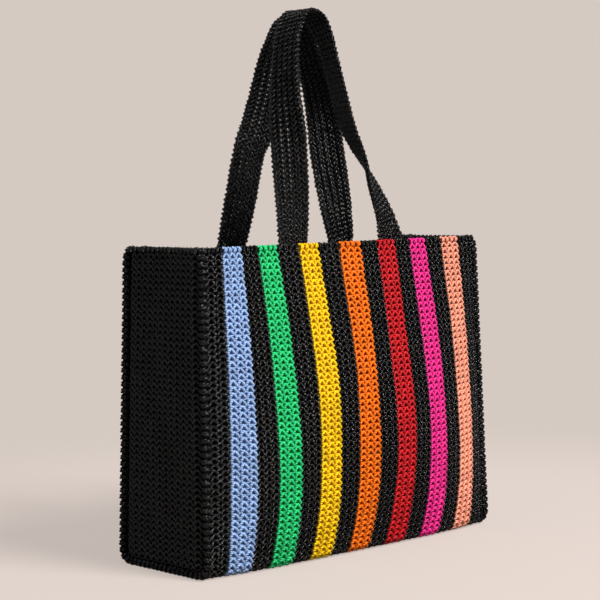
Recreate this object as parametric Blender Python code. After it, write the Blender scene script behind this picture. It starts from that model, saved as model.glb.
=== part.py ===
# Crocheted tote bag, free standing, in metres with +Z up.
#
# One crocheted piece wraps from the front rim, under the base, to the back rim. It is worked in
# long rows that run up and down the bag, and each band of three rows is worked in a yarn of its
# own: black, then a colour, then black again. The first band, beside the left joining row, has
# two rows, and a coloured band spreads a little wider than a black one. Two black gussets close
# the sides, a joining row covers each seam, and two flat crocheted straps are sewn inside the rim
# as shoulder handles.
# The bag stands on the floor: the front looks towards -Y, and the origin is under its middle.

import math

import bmesh
import bpy
from mathutils import Vector

# Bag
RIM_WIDTH = 0.380
BASE_WIDTH = 0.394
RIM_DEPTH = 0.115
BASE_DEPTH = 0.131
HEIGHT = 0.313
PANEL_BULGE = 0.026
RIM_SLACK = 0.023
GUSSET_HOLLOW = 0.004
FOLD_RADIUS = 0.012

# Crochet
WALL = 0.005
ROW_GROOVE = 0.0014
COLOUR_BAND = 0.0267
FIRST_BAND = 0.0181
ROWS_PER_BAND = 3
FIRST_BAND_ROWS = 2
GUSSET_ROWS = 12
RIM_ROW = 0.0055
RIM_LIP = 0.0010
SEAM_RADIUS = 0.004
CLEAR = 0.0003

# Handles
STRAP_WIDTH = 0.035
STRAP_THICKNESS = 0.0045
STRAP_COLUMNS = 5
STRAP_GROOVE = 0.0012
HANDLE_RISE = 0.234
FRONT_SPAN = 0.138
BACK_SPAN = 0.155
SEWN_DEPTH = 0.045
SEWING_RADIUS = 0.0012

# Smoothness of the model
SIDE_STEPS = 5
FOLD_STEPS = 4
STRAP_STEPS = 2

FRONT = -1
BACK = 1
LEFT = -1
RIGHT = 1

YARNS = {
    "black": (0.012, 0.012, 0.013, 1.0),
    "blue": (0.29, 0.44, 0.85, 1.0),
    "green": (0.03, 0.58, 0.16, 1.0),
    "yellow": (0.94, 0.56, 0.01, 1.0),
    "orange": (0.94, 0.19, 0.01, 1.0),
    "red": (0.56, 0.02, 0.03, 1.0),
    "pink": (0.82, 0.03, 0.25, 1.0),
    "salmon": (0.94, 0.32, 0.18, 1.0),
}
BAND_COLOURS = ("blue", "green", "yellow", "orange", "red", "pink", "salmon")

# Where a handle's strap goes from the rim to its top: share of the half span, share of the rise,
# lean from the wall to the top (0 to 1), and the turn of the strap's width in degrees, 0 along X.
FRONT_ROUTE = (
    (-0.91, 0.188, 0.20, -17.0),
    (-0.88, 0.402, 0.36, -34.0),
    (-0.87, 0.487, 0.43, -53.0),
    (-0.85, 0.615, 0.55, -74.0),
    (-0.78, 0.765, 0.68, -86.0),
    (-0.68, 0.876, 0.81, -90.0),
    (-0.51, 0.970, 0.92, -90.0),
    (-0.28, 1.000, 1.00, -90.0),
    (-0.03, 0.968, 0.97, -97.0),
    (0.09, 0.885, 0.84, -106.0),
    (0.17, 0.786, 0.75, -110.0),
    (0.28, 0.624, 0.62, -109.0),
    (0.39, 0.496, 0.51, -111.0),
    (0.52, 0.406, 0.40, -118.0),
    (0.63, 0.338, 0.33, -129.0),
    (0.73, 0.269, 0.28, -145.0),
    (0.87, 0.179, 0.22, -157.0),
    (0.98, 0.090, 0.14, -167.0),
)
BACK_ROUTE = (
    (-0.86, 0.196, 0.19, -11.0),
    (-0.71, 0.414, 0.35, -13.0),
    (-0.58, 0.506, 0.43, -28.0),
    (-0.44, 0.637, 0.51, -50.0),
    (-0.33, 0.794, 0.71, -68.0),
    (-0.24, 0.903, 0.95, -81.0),
    (-0.15, 0.975, 0.99, -89.0),
    (-0.02, 1.006, 0.99, -90.0),
    (0.09, 0.975, 0.99, -90.0),
    (0.21, 0.903, 0.95, -87.0),
    (0.36, 0.794, 0.79, -81.0),
    (0.52, 0.672, 0.59, -72.0),
    (0.63, 0.532, 0.47, -59.0),
    (0.70, 0.414, 0.35, -43.0),
    (0.87, 0.185, 0.15, -22.0),
)
BESIDE_MIDDLE = 0.5 * STRAP_WIDTH + CLEAR


def smooth_rise(share):
    """0 below the middle of the bag, then rising to 1 at the rim."""
    return max(0.0, 2.0 * share - 1.0) ** 2


def bag_width(z):
    return BASE_WIDTH + (RIM_WIDTH - BASE_WIDTH) * z / HEIGHT


def corner_depth(z):
    """Half the depth at the seams, where the panels meet the gussets."""
    return 0.5 * (BASE_DEPTH + (RIM_DEPTH - BASE_DEPTH) * z / HEIGHT)


def panel_y(side, u, z):
    """Middle of the front or back wall at share u of the width and height z."""
    share = min(max(z / HEIGHT, 0.0), 1.0)
    across = 1.0 - (2.0 * u - 1.0) ** 4
    out = PANEL_BULGE * across * math.sin(math.pi * share ** 0.7)
    if side == BACK:
        out -= RIM_SLACK * across * smooth_rise(share)
    return side * (corner_depth(z) + out)


def wrap_x(u, z):
    """Across the wrapped piece, which stops short of the joining rows at both sides."""
    return (u - 0.5) * (bag_width(z) - 2.0 * (SEAM_RADIUS + CLEAR))


def side_heights():
    """Heights of the stations on a wall, from the rim down to the fold at the base."""
    fold_top = FOLD_RADIUS + 0.5 * WALL
    sewn_end = HEIGHT - SEWN_DEPTH
    heights = [HEIGHT, HEIGHT - RIM_ROW, HEIGHT - RIM_ROW - RIM_LIP]
    for step in range(SIDE_STEPS + 1):
        heights.append(sewn_end + (fold_top - sewn_end) * step / SIDE_STEPS)
    return heights


def wall_point(side, u, z):
    return Vector((wrap_x(u, z), panel_y(side, u, z), z))


def wall_frame(side, u, z):
    """Point on the middle of a wall, and the direction that points out of the bag there."""
    near = 0.0005
    point = wall_point(side, u, z)
    slope = (panel_y(side, u, z + near) - panel_y(side, u, z - near)) / (2.0 * near)
    outward = Vector((0.0, side, -side * slope)).normalized()
    return point, outward


def fold_frame(side, u, angle):
    """The same on the fold: angle 0 is level with the wall, a quarter turn is the base."""
    fold_top = FOLD_RADIUS + 0.5 * WALL
    wall = wall_point(side, u, fold_top)
    centre = wall - Vector((0.0, side * FOLD_RADIUS, 0.0))
    outward = Vector((0.0, side * math.cos(angle), -math.sin(angle)))
    return centre + outward * FOLD_RADIUS, outward


def wrap_stations(u):
    """Stations of the wrap at share u: point, outward direction, groove share and rim lip."""
    front = []
    back = []
    for side, stations in ((FRONT, front), (BACK, back)):
        for number, z in enumerate(side_heights()):
            point, outward = wall_frame(side, u, z)
            lip = RIM_LIP if number < 2 else 0.0
            stations.append((point, outward, 1.0, lip))
        for step in range(1, FOLD_STEPS + 1):
            angle = 0.5 * math.pi * step / FOLD_STEPS
            point, outward = fold_frame(side, u, angle)
            stations.append((point, outward, 1.0 - step / FOLD_STEPS, 0.0))
    return front + back[::-1]


def row_profile(rows):
    """Closed outline across some rows: share across, 1 on a crest and 0 in a groove, outer face."""
    outline = []
    for number in range(2 * rows + 1):
        outline.append((number / (2.0 * rows), float(number % 2), True))
    return outline + [(1.0, 0.0, False), (0.0, 0.0, False)]


def yarn_material(colour):
    name = colour + "_yarn"
    material = bpy.data.materials.get(name)
    if material is None:
        material = bpy.data.materials.new(name)
        material.use_nodes = True
        shader = material.node_tree.nodes["Principled BSDF"]
        shader.inputs["Base Color"].default_value = YARNS[colour]
        shader.inputs["Roughness"].default_value = 0.6
        shader.inputs["Metallic"].default_value = 0.0
    return material


def add_part(name, data, colour):
    item = bpy.data.objects.new(name, data)
    data.materials.append(yarn_material(colour))
    bag.objects.link(item)
    return item


def add_loft(name, rings, colour):
    """A closed solid through rings of equal length, with a face over each end."""
    count = len(rings[0])
    points = [point for ring in rings for point in ring]
    faces = [list(range(count)), list(range(len(points) - count, len(points)))]
    for row in range(len(rings) - 1):
        for column in range(count):
            near = row * count + column
            beside = row * count + (column + 1) % count
            faces.append([near, beside, beside + count, near + count])
    data = bpy.data.meshes.new(name)
    data.from_pydata(points, [], faces)
    mesh = bmesh.new()
    mesh.from_mesh(data)
    bmesh.ops.recalc_face_normals(mesh, faces=mesh.faces)
    mesh.to_mesh(data)
    mesh.free()
    return add_part(name, data, colour)


def add_cord(name, points, radius, colour):
    """A round cord with closed ends along straight runs between the points."""
    data = bpy.data.curves.new(name, "CURVE")
    data.dimensions = "3D"
    data.bevel_depth = radius
    data.bevel_resolution = 2
    data.use_fill_caps = True
    line = data.splines.new("POLY")
    line.points.add(len(points) - 1)
    for target, point in zip(line.points, points):
        target.co = (point.x, point.y, point.z, 1.0)
    return add_part(name, data, colour)


def band_edges():
    """Shares of the wrap's width where the bands meet. Black bands take what the others leave."""
    width = RIM_WIDTH - 2.0 * (SEAM_RADIUS + CLEAR)
    black_band = (width - FIRST_BAND) / len(BAND_COLOURS) - COLOUR_BAND
    edges = [0.0, FIRST_BAND / width]
    for colour in BAND_COLOURS:
        edges.append(edges[-1] + COLOUR_BAND / width)
        edges.append(edges[-1] + black_band / width)
    return edges


def add_band(name, start, end, rows, colour):
    """Rows worked in one yarn, from the front rim under the base to the back rim."""
    half_gap = 0.5 * CLEAR / RIM_WIDTH
    first = start + half_gap
    last = end - half_gap
    profile = row_profile(rows)
    columns = [wrap_stations(first + share * (last - first)) for share, crest, outer in profile]
    rings = []
    for index in range(len(columns[0])):
        ring = []
        for (share, crest, outer), column in zip(profile, columns):
            point, outward, grooved, lip = column[index]
            offset = -0.5 * WALL
            if outer:
                offset = 0.5 * WALL + lip - ROW_GROOVE * grooved * (1.0 - crest)
            ring.append(point + outward * offset)
        rings.append(ring)
    return add_loft(name, rings, colour)


def add_bands():
    edges = band_edges()
    for number in range(len(edges) - 1):
        rows = ROWS_PER_BAND if number else FIRST_BAND_ROWS
        if number % 2:
            colour = BAND_COLOURS[number // 2]
            name = colour + "_band"
        else:
            colour = "black"
            name = "black_band_" + str(number // 2 + 1)
        add_band(name, edges[number], edges[number + 1], rows, colour)


def gusset_outline():
    """Height and half depth of a gusset, which fits inside the joining row."""
    fit = SEAM_RADIUS + CLEAR
    corner = SEAM_RADIUS + FOLD_RADIUS
    outline = []
    for z in side_heights():
        if z > corner:
            outline.append((z, corner_depth(z) - fit))
    for step in range(FOLD_STEPS + 1):
        angle = 0.5 * math.pi * step / FOLD_STEPS
        inset = corner_depth(corner) - FOLD_RADIUS
        reach = FOLD_RADIUS - fit
        outline.append((corner - reach * math.sin(angle), inset + reach * math.cos(angle)))
    return outline


def add_gusset(name, side):
    rings = []
    for number, (z, half_depth) in enumerate(gusset_outline()):
        lip = RIM_LIP if number < 2 else 0.0
        ring = []
        for share, crest, outer in row_profile(GUSSET_ROWS):
            hollow = GUSSET_HOLLOW * (1.0 - (2.0 * share - 1.0) ** 2) * smooth_rise(z / HEIGHT)
            offset = -0.5 * WALL
            if outer:
                offset = 0.5 * WALL + lip - ROW_GROOVE * (1.0 - crest)
            x = side * (0.5 * bag_width(z) - hollow + offset)
            ring.append(Vector((x, (2.0 * share - 1.0) * half_depth, z)))
        rings.append(ring)
    return add_loft(name, rings, "black")


def seam_line(side, end):
    """Half of a joining row, down one upright edge of the bag and round the fold to the base."""
    corner = SEAM_RADIUS + FOLD_RADIUS
    points = [Vector((side * 0.5 * bag_width(HEIGHT), end * corner_depth(HEIGHT), HEIGHT))]
    for step in range(FOLD_STEPS + 1):
        angle = 0.5 * math.pi * step / FOLD_STEPS
        z = corner - FOLD_RADIUS * math.sin(angle)
        y = corner_depth(corner) - FOLD_RADIUS * (1.0 - math.cos(angle))
        points.append(Vector((side * 0.5 * bag_width(z), end * y, z)))
    return points


def add_seam(name, side):
    points = seam_line(side, FRONT) + seam_line(side, BACK)[::-1]
    return add_cord(name, points, SEAM_RADIUS, "black")


def wall_share(x, z):
    """Share of the wrap's width at which a wall lies at x."""
    return 0.5 + x / (bag_width(z) - 2.0 * (SEAM_RADIUS + CLEAR))


def inside_wall(side, x, z, depth):
    """Point at a depth inside the inner face of the front or back wall."""
    point, outward = wall_frame(side, wall_share(x, z), z)
    return point - outward * (0.5 * WALL + depth)


def wall_turn(side, x, z):
    """Degrees that the wall turns away from the X axis at x."""
    near = 0.5 * STRAP_WIDTH
    start = wall_point(side, wall_share(x - near, z), z)
    end = wall_point(side, wall_share(x + near, z), z)
    return math.degrees(math.atan2(end.y - start.y, end.x - start.x))


def sewn_stations(side, x, turn):
    """The sewn end of a strap, from its end up to the rim."""
    stations = []
    for z in side_heights()[3::-1]:
        point = inside_wall(side, x, z, CLEAR + 0.5 * STRAP_THICKNESS)
        stations.append((point, turn + wall_turn(side, x, z)))
    return stations


def smooth_between(before, start, end, after, share):
    """Catmull-Rom value at a share of the way from start to end."""
    part = (end - before) * 0.5
    leave = (after - start) * 0.5
    square = share * share
    cube = square * share
    value = start * (2.0 * cube - 3.0 * square + 1.0) + part * (cube - 2.0 * square + share)
    return value + end * (3.0 * square - 2.0 * cube) + leave * (cube - square)


def strap_stations(side, span, rise, top_y, route, end_turn):
    """Middle line of a strap with its turn, from one sewn end over the top to the other."""
    up = sewn_stations(side, -0.5 * span, 0.0)
    down = sewn_stations(side, 0.5 * span, end_turn)[::-1]
    rim_y = up[-1][0].y
    knots = up[-2:]
    for across, height, lean, turn in route:
        y = rim_y + (top_y - rim_y) * lean
        knots.append((Vector((0.5 * span * across, y, HEIGHT + rise * height)), turn))
    knots += down[:2]
    stations = up[:-1]
    for number in range(1, len(knots) - 2):
        points = [knot[0] for knot in knots[number - 1:number + 3]]
        turns = [knot[1] for knot in knots[number - 1:number + 3]]
        for step in range(STRAP_STEPS):
            share = step / STRAP_STEPS
            stations.append((smooth_between(*points, share), smooth_between(*turns, share)))
    return stations + down


def add_handle(name, side, span, rise, top_y, route, end_turn):
    """A flat crocheted strap, which turns from flat against the wall to level over the top."""
    stations = strap_stations(side, span, rise, top_y, route, end_turn)
    seat = len(sewn_stations(side, 0.0, 0.0))
    rings = []
    for number, (point, turn) in enumerate(stations):
        first = 0
        last = len(stations) - 1
        if number < seat:
            last = seat - 1
        elif number > len(stations) - 1 - seat:
            first = len(stations) - seat
        before = stations[max(number - 1, first)][0]
        after = stations[min(number + 1, last)][0]
        along = (after - before).normalized()
        angle = math.radians(turn)
        width = Vector((math.cos(angle), math.sin(angle), 0.0))
        width = (width - along * width.dot(along)).normalized()
        inward = along.cross(width)
        ring = []
        for share, crest, outer in row_profile(STRAP_COLUMNS):
            offset = 0.5 * STRAP_THICKNESS
            if outer:
                offset = -0.5 * STRAP_THICKNESS + STRAP_GROOVE * (1.0 - crest)
            ring.append(point + width * STRAP_WIDTH * (share - 0.5) + inward * offset)
        rings.append(ring)
    return add_loft(name, rings, "black")


def add_sewing(name, side, x):
    """The sewing yarn down both edges and across the end of a strap."""
    beside = 0.5 * STRAP_WIDTH + CLEAR + SEWING_RADIUS
    below = SEWN_DEPTH + CLEAR + SEWING_RADIUS
    route = (
        (-beside, RIM_ROW + RIM_LIP),
        (-beside, SEWN_DEPTH),
        (-beside, below),
        (beside, below),
        (beside, SEWN_DEPTH),
        (beside, RIM_ROW + RIM_LIP),
    )
    points = []
    for across, down in route:
        points.append(inside_wall(side, x + across, HEIGHT - down, CLEAR + SEWING_RADIUS))
    return add_cord(name, points, SEWING_RADIUS, "black")


for old in list(bpy.data.objects):
    bpy.data.objects.remove(old)

bag = bpy.data.collections.new("crocheted_tote_bag")
bpy.context.scene.collection.children.link(bag)

add_bands()
add_gusset("left_gusset", LEFT)
add_gusset("right_gusset", RIGHT)
add_seam("left_joining_row", LEFT)
add_seam("right_joining_row", RIGHT)
back_rise = HANDLE_RISE - STRAP_THICKNESS - CLEAR
add_handle("front_handle", FRONT, FRONT_SPAN, HANDLE_RISE, -BESIDE_MIDDLE, FRONT_ROUTE, -180.0)
add_handle("back_handle", BACK, BACK_SPAN, back_rise, BESIDE_MIDDLE, BACK_ROUTE, 0.0)
add_sewing("front_handle_left_sewing", FRONT, -0.5 * FRONT_SPAN)
add_sewing("front_handle_right_sewing", FRONT, 0.5 * FRONT_SPAN)
add_sewing("back_handle_left_sewing", BACK, -0.5 * BACK_SPAN)
add_sewing("back_handle_right_sewing", BACK, 0.5 * BACK_SPAN)
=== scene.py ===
# %% [markdown]
# # A crocheted tote bag, dressed in its yarn
#
# The imported CAD model gives a bag of the right size: fifteen wrapped bands, two gussets, a joining
# row over each seam, and two flat handles. Those solids are smooth. This lesson puts real crochet in
# their place: one stitch is modelled, and copies of it are laid in rows over the same curved
# surfaces. We start by loading the frame; the dressed bag keeps the bag's size. The dressed bag has
# to keep the bag's size.

# %% Load the frame
import math

import bpy
import numpy as np
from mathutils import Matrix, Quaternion, Vector


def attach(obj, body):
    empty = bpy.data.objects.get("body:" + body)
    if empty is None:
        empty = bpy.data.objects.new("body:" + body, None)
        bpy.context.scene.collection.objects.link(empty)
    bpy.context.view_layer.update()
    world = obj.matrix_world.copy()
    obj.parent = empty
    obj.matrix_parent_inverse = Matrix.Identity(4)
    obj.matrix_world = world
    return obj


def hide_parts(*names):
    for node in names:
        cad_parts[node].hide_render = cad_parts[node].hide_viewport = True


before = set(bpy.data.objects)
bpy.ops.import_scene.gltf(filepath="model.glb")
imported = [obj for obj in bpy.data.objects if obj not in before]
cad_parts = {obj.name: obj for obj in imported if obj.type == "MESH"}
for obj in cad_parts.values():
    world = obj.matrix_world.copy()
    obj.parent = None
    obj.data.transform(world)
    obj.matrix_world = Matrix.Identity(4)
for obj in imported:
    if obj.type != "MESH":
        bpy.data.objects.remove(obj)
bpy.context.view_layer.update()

# %% [markdown]
# ## The camera
#
# The bag is seen from the left of its front, a little above its middle, through a long lens, so
# the upright edges stay nearly parallel. The camera leans by less than a degree about its own
# line of sight, as a camera on a stand often does.

# %% Camera
AZIMUTH = math.radians(-42.9)
ELEVATION = math.radians(3.73)
LEAN = math.radians(-0.90)
DISTANCE = 1.872
LENS = 109.1
SENSOR_WIDTH = 36.0
TARGET = Vector((-0.012, 0.0, 0.254))

towards = Vector((
    math.sin(AZIMUTH) * math.cos(ELEVATION),
    -math.cos(AZIMUTH) * math.cos(ELEVATION),
    math.sin(ELEVATION),
))
bpy.ops.object.camera_add(location=TARGET + towards * DISTANCE)
camera = bpy.context.object
camera.data.lens = LENS
camera.data.sensor_width = SENSOR_WIDTH
camera.rotation_mode = "QUATERNION"
camera.rotation_quaternion = towards.to_track_quat("Z", "Y") @ Quaternion((0.0, 0.0, 1.0), LEAN)
bpy.context.scene.camera = camera
print("camera at", [round(value, 3) for value in camera.location])

# %% [markdown]
# ## The measures of the bag
#
# A yarn surface needs to know where its wall is. The walls of the CAD model follow a few simple
# formulas, so the same measures are named here, in metres: a trapezoid seen from the front, with
# panels that belly out in the middle and a back rim that is drawn in.

# %% Measures
RIM_WIDTH, BASE_WIDTH = 0.380, 0.394
RIM_DEPTH, BASE_DEPTH = 0.115, 0.131
HEIGHT = 0.313
PANEL_BULGE = 0.026
RIM_SLACK = 0.023
GUSSET_HOLLOW = 0.004
FOLD_RADIUS = 0.012
COLOUR_BAND, FIRST_BAND = 0.0267, 0.0181
WALL = 0.005
SEAM_RADIUS = 0.004
CLEAR = 0.0003
SEAM_FIT = SEAM_RADIUS + CLEAR
FRONT, BACK = -1.0, 1.0
LEFT, RIGHT = -1.0, 1.0


def bag_width(z):
    return BASE_WIDTH + (RIM_WIDTH - BASE_WIDTH) * z / HEIGHT


def corner_depth(z):
    return 0.5 * (BASE_DEPTH + (RIM_DEPTH - BASE_DEPTH) * z / HEIGHT)


def panel_y(side, u, z):
    """The middle of the front or back wall, at a share u of its width."""
    share = np.clip(z / HEIGHT, 0.0, 1.0)
    across = 1.0 - (2.0 * u - 1.0) ** 4
    out = PANEL_BULGE * across * np.sin(math.pi * share ** 0.7)
    if side == BACK:
        out = out - RIM_SLACK * across * np.maximum(0.0, 2.0 * share - 1.0) ** 2
    return side * (corner_depth(z) + out)


print("rim %.0f x %.0f mm" % (1000.0 * RIM_WIDTH, 1000.0 * RIM_DEPTH))

# %% [markdown]
# ## A cloth that stitches can be laid on
#
# Each surface is kept as a grid of points with a direction that points outwards at each of them.
# The first axis of the grid goes across the rows, and the second goes along them, in equal steps
# of real length, so that every stitch gets the same length of yarn. A point of a stitch has
# three numbers, across, along and height, and the grid turns them into a place in the bag. A
# stitch may reach a little past the edge of its cloth.

# %% Grids
STEPS_PER_STITCH = 4
EDGE_REACH = 0.005


def even_line(points, steps):
    """The same line in equal steps."""
    lengths = np.linalg.norm(np.diff(points, axis=0), axis=1)
    travel = np.concatenate(([0.0], np.cumsum(lengths)))
    wanted = np.linspace(0.0, travel[-1], steps + 1)
    return np.stack([np.interp(wanted, travel, points[:, axis]) for axis in range(3)], axis=1)


class Cloth:
    """A grid of points with outward directions, read at any share across and along."""

    def __init__(self, points, outward, reach=EDGE_REACH):
        self.points = points
        self.reach = reach
        across = np.gradient(points, axis=0)
        along = np.gradient(points, axis=1)
        normal = np.cross(along, across)
        normal /= np.linalg.norm(normal, axis=2, keepdims=True)
        middle = (points.shape[0] // 2, points.shape[1] // 2)
        self.mirrored = np.dot(normal[middle], outward(points[middle])) > 0.0
        self.normal = normal if self.mirrored else -normal
        self.length = float(np.linalg.norm(np.diff(points[middle[0]], axis=0), axis=1).sum())

    def place(self, across, along, height):
        rows, columns = self.points.shape[:2]
        a = np.clip(across, -self.reach, 1.0 + self.reach) * (rows - 1)
        b = np.clip(along, 0.0, 1.0) * (columns - 1)
        i = np.clip(np.floor(a).astype(int), 0, rows - 2)
        j = np.minimum(b.astype(int), columns - 2)
        a = (a - i)[:, None]
        b = (b - j)[:, None]
        found = []
        for grid in (self.points, self.normal):
            near = grid[i, j] * (1.0 - b) + grid[i, j + 1] * b
            far = grid[i + 1, j] * (1.0 - b) + grid[i + 1, j + 1] * b
            found.append(near * (1.0 - a) + far * a)
        normal = found[1] / np.linalg.norm(found[1], axis=1, keepdims=True)
        return found[0] + normal * height[:, None]


# %% [markdown]
# ## The wrapped cloth
#
# One piece of crochet goes from the front rim, down the front, under the base and up the back.
# Its forty-four rows run along that path, side by side. A small uneven sag is added, as a soft
# wall has, and it fades out at the rim, at the seams and under the base. The back rim dips a
# little, where the handle pulls at it. The front was not worked quite evenly either: towards the
# rim its rows drift sideways by up to eight millimetres.

# %% Small departures of the walls
SAG = 0.0012
BACK_DIP = 0.006
DRIFT_PLACES = (0.0, 0.049, 0.121, 0.185, 0.257, 0.321, 0.393, 0.457, 0.529, 0.593, 0.665, 0.729,
                0.801, 0.865, 0.937, 1.0)
DRIFT = (0.0, 0.0020, -0.0012, -0.0040, -0.0062, 0.0, -0.0012, 0.0045, 0.0080, 0.0080, 0.0065,
         0.0048, 0.0016, 0.0025, 0.0022, 0.0)


def sag(u, z):
    edge = np.sin(math.pi * u) * np.sin(math.pi * np.clip(z / HEIGHT, 0.0, 1.0))
    wave = np.sin(9.0 * u + 21.0 * z) + 0.7 * np.sin(17.0 * u - 33.0 * z + 1.0)
    return SAG * edge * wave


def rim_dip(side, u):
    return BACK_DIP * (1.0 - (2.0 * u - 1.0) ** 6) if side == BACK else 0.0


def drift(side, u, z):
    if side == BACK:
        return 0.0
    return np.interp(u, DRIFT_PLACES, DRIFT) * np.clip(z / HEIGHT, 0.0, 1.0) ** 1.5


print("largest drift: %.1f mm" % (1000.0 * max(DRIFT)))

# %% [markdown]
# The grid is made line by line. A line starts at the front rim, goes down the wall, round the
# fold at its foot, under the base, and up the back in the same way.

# %% Wrapped cloth
WRAP_STITCHES = 122
WRAP_LINES = 91
WALL_POINTS = 61
FOLD_ANGLES = np.linspace(0.0, 0.5 * math.pi, 10)[1:]
FOLD_TOP = FOLD_RADIUS + 0.5 * WALL


def wrap_line(u):
    lines = []
    for side in (FRONT, BACK):
        z = np.linspace(HEIGHT - rim_dip(side, u), FOLD_TOP, WALL_POINTS)
        y = panel_y(side, u, z) + side * sag(u, z)
        fold_y = y[-1] - side * FOLD_RADIUS * (1.0 - np.cos(FOLD_ANGLES))
        z = np.concatenate((z, FOLD_TOP - FOLD_RADIUS * np.sin(FOLD_ANGLES)))
        y = np.concatenate((y, fold_y))
        x = (u - 0.5) * (bag_width(z) - 2.0 * SEAM_FIT) + drift(side, u, z)
        lines.append(np.stack((x, y, z), axis=1))
    whole = np.concatenate((lines[0], lines[1][::-1]))
    return even_line(whole, STEPS_PER_STITCH * WRAP_STITCHES)


wrap_points = np.stack([wrap_line(u) for u in np.linspace(0.0, 1.0, WRAP_LINES)])
wrap = Cloth(wrap_points, lambda point: np.array((0.0, 0.0, -1.0)))
print("wrapped cloth: %.0f mm long, a stitch every %.1f mm" % (
    1000.0 * wrap.length, 1000.0 * wrap.length / WRAP_STITCHES))

# %% [markdown]
# ## The gussets
#
# A gusset is a flat piece of crochet with twelve rows that run up and down. Its bottom corners
# are rounded where the seam turns under the base, and near the rim it is drawn in a little. Both
# its long edges dip into a groove, where the joining rows pull them in, and end under those rows.

# %% Gusset cloths
GUSSET_ROWS = 12
GUSSET_LINES = 4 * GUSSET_ROWS + 1
GUSSET_STITCHES = 50
CORNER = SEAM_RADIUS + FOLD_RADIUS
GUSSET_FOOT = CORNER - FOLD_RADIUS + SEAM_FIT
GROOVE_DEPTH = 0.0045
GROOVE_PLACES = (0.0, 0.03, 0.05, 0.09)
GROOVE_PROFILE = (0.2, 1.0, 1.0, 0.0)
TUCK = 0.0008


def gusset_points(side):
    z = np.linspace(HEIGHT, GUSSET_FOOT, STEPS_PER_STITCH * GUSSET_STITCHES + 1)
    half = corner_depth(z) - TUCK
    reach = FOLD_RADIUS - TUCK
    low = z < CORNER
    drop = np.clip((CORNER - z) / reach, 0.0, 1.0)
    half[low] = corner_depth(CORNER) - FOLD_RADIUS + reach * np.sqrt(1.0 - drop[low] ** 2)
    v = np.linspace(0.0, 1.0, GUSSET_LINES)[:, None]
    rise = np.maximum(0.0, 2.0 * z / HEIGHT - 1.0) ** 2
    hollow = GUSSET_HOLLOW * (1.0 - (2.0 * v - 1.0) ** 2) * rise
    groove = GROOVE_DEPTH * np.interp(np.minimum(v, 1.0 - v), GROOVE_PLACES, GROOVE_PROFILE)
    x = side * (0.5 * bag_width(z) - hollow - groove + 0.5 * sag(v, z))
    y = (2.0 * v - 1.0) * half
    return np.stack((x, y, np.broadcast_to(z, x.shape)), axis=2)


left_side = Cloth(gusset_points(LEFT), lambda point: np.array((LEFT, 0.0, 0.0)))
right_side = Cloth(gusset_points(RIGHT), lambda point: np.array((RIGHT, 0.0, 0.0)))
print("gusset: %.0f mm high" % (1000.0 * left_side.length))

# %% [markdown]
# ## The handles
#
# Each handle is a flat strap. It starts sewn inside the rim, rises, turns edge-on by degrees, and
# goes over the top, where the two handles lie side by side. Its route is a list of places: share
# of the half span, share of the rise, lean from the wall to the top, and the turn of its width.
# The front strap turns by half a circle on its way, and the back strap turns back again.

# %% Handle measures
STRAP_WIDTH = 0.035
STRAP_THICKNESS = 0.0045
HANDLE_RISE = 0.234
FRONT_SPAN, BACK_SPAN = 0.138, 0.155
FRONT_TURN, BACK_TURN = -180.0, 0.0
SEWN_DEPTH = 0.045
RIM_ROW = 0.0055
RIM_LIP = 0.0010
BESIDE_MIDDLE = 0.5 * STRAP_WIDTH + CLEAR
FRONT_ROUTE = (
    (-0.91, 0.188, 0.20, -17.0),
    (-0.88, 0.402, 0.36, -34.0),
    (-0.87, 0.487, 0.43, -53.0),
    (-0.85, 0.615, 0.55, -74.0),
    (-0.78, 0.765, 0.68, -86.0),
    (-0.68, 0.876, 0.81, -90.0),
    (-0.51, 0.970, 0.92, -90.0),
    (-0.28, 1.000, 1.00, -90.0),
    (-0.03, 0.968, 0.97, -97.0),
    (0.09, 0.885, 0.84, -106.0),
    (0.17, 0.786, 0.75, -110.0),
    (0.28, 0.624, 0.62, -109.0),
    (0.39, 0.496, 0.51, -111.0),
    (0.52, 0.406, 0.40, -118.0),
    (0.63, 0.338, 0.33, -129.0),
    (0.73, 0.269, 0.28, -145.0),
    (0.87, 0.179, 0.22, -157.0),
    (0.98, 0.090, 0.14, -167.0),
)
BACK_ROUTE = (
    (-0.86, 0.196, 0.19, -11.0),
    (-0.71, 0.414, 0.35, -13.0),
    (-0.58, 0.506, 0.43, -28.0),
    (-0.44, 0.637, 0.51, -50.0),
    (-0.33, 0.794, 0.71, -68.0),
    (-0.24, 0.903, 0.95, -81.0),
    (-0.15, 0.975, 0.99, -89.0),
    (-0.02, 1.006, 0.99, -90.0),
    (0.09, 0.975, 0.99, -90.0),
    (0.21, 0.903, 0.95, -87.0),
    (0.36, 0.794, 0.79, -81.0),
    (0.52, 0.672, 0.59, -72.0),
    (0.63, 0.532, 0.47, -59.0),
    (0.70, 0.414, 0.35, -43.0),
    (0.87, 0.185, 0.15, -22.0),
)
print("places on the routes:", len(FRONT_ROUTE), "and", len(BACK_ROUTE))

# %% [markdown]
# A place on the inside of a wall comes from the wall's own formula: the point on its middle, and
# the direction that points out of the bag there. The sewn ends of a strap lie against it.

# %% Places on the inside of a wall
SLOPE_STEP = 0.0005


def wall_share(x, z):
    return 0.5 + x / (bag_width(z) - 2.0 * SEAM_FIT)


def inside_wall(side, x, z, depth):
    u = wall_share(x, z)
    rise = panel_y(side, u, z + SLOPE_STEP) - panel_y(side, u, z - SLOPE_STEP)
    outward = np.array((0.0, side, -side * rise / (2.0 * SLOPE_STEP)))
    outward /= np.linalg.norm(outward)
    return np.array((x, panel_y(side, u, z), z)) - outward * (0.5 * WALL + depth)


def wall_turn(side, x, z):
    half = 0.5 * STRAP_WIDTH
    ends = [panel_y(side, wall_share(x + offset, z), z) for offset in (-half, half)]
    return math.degrees(math.atan2(ends[1] - ends[0], 2.0 * half))


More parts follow.
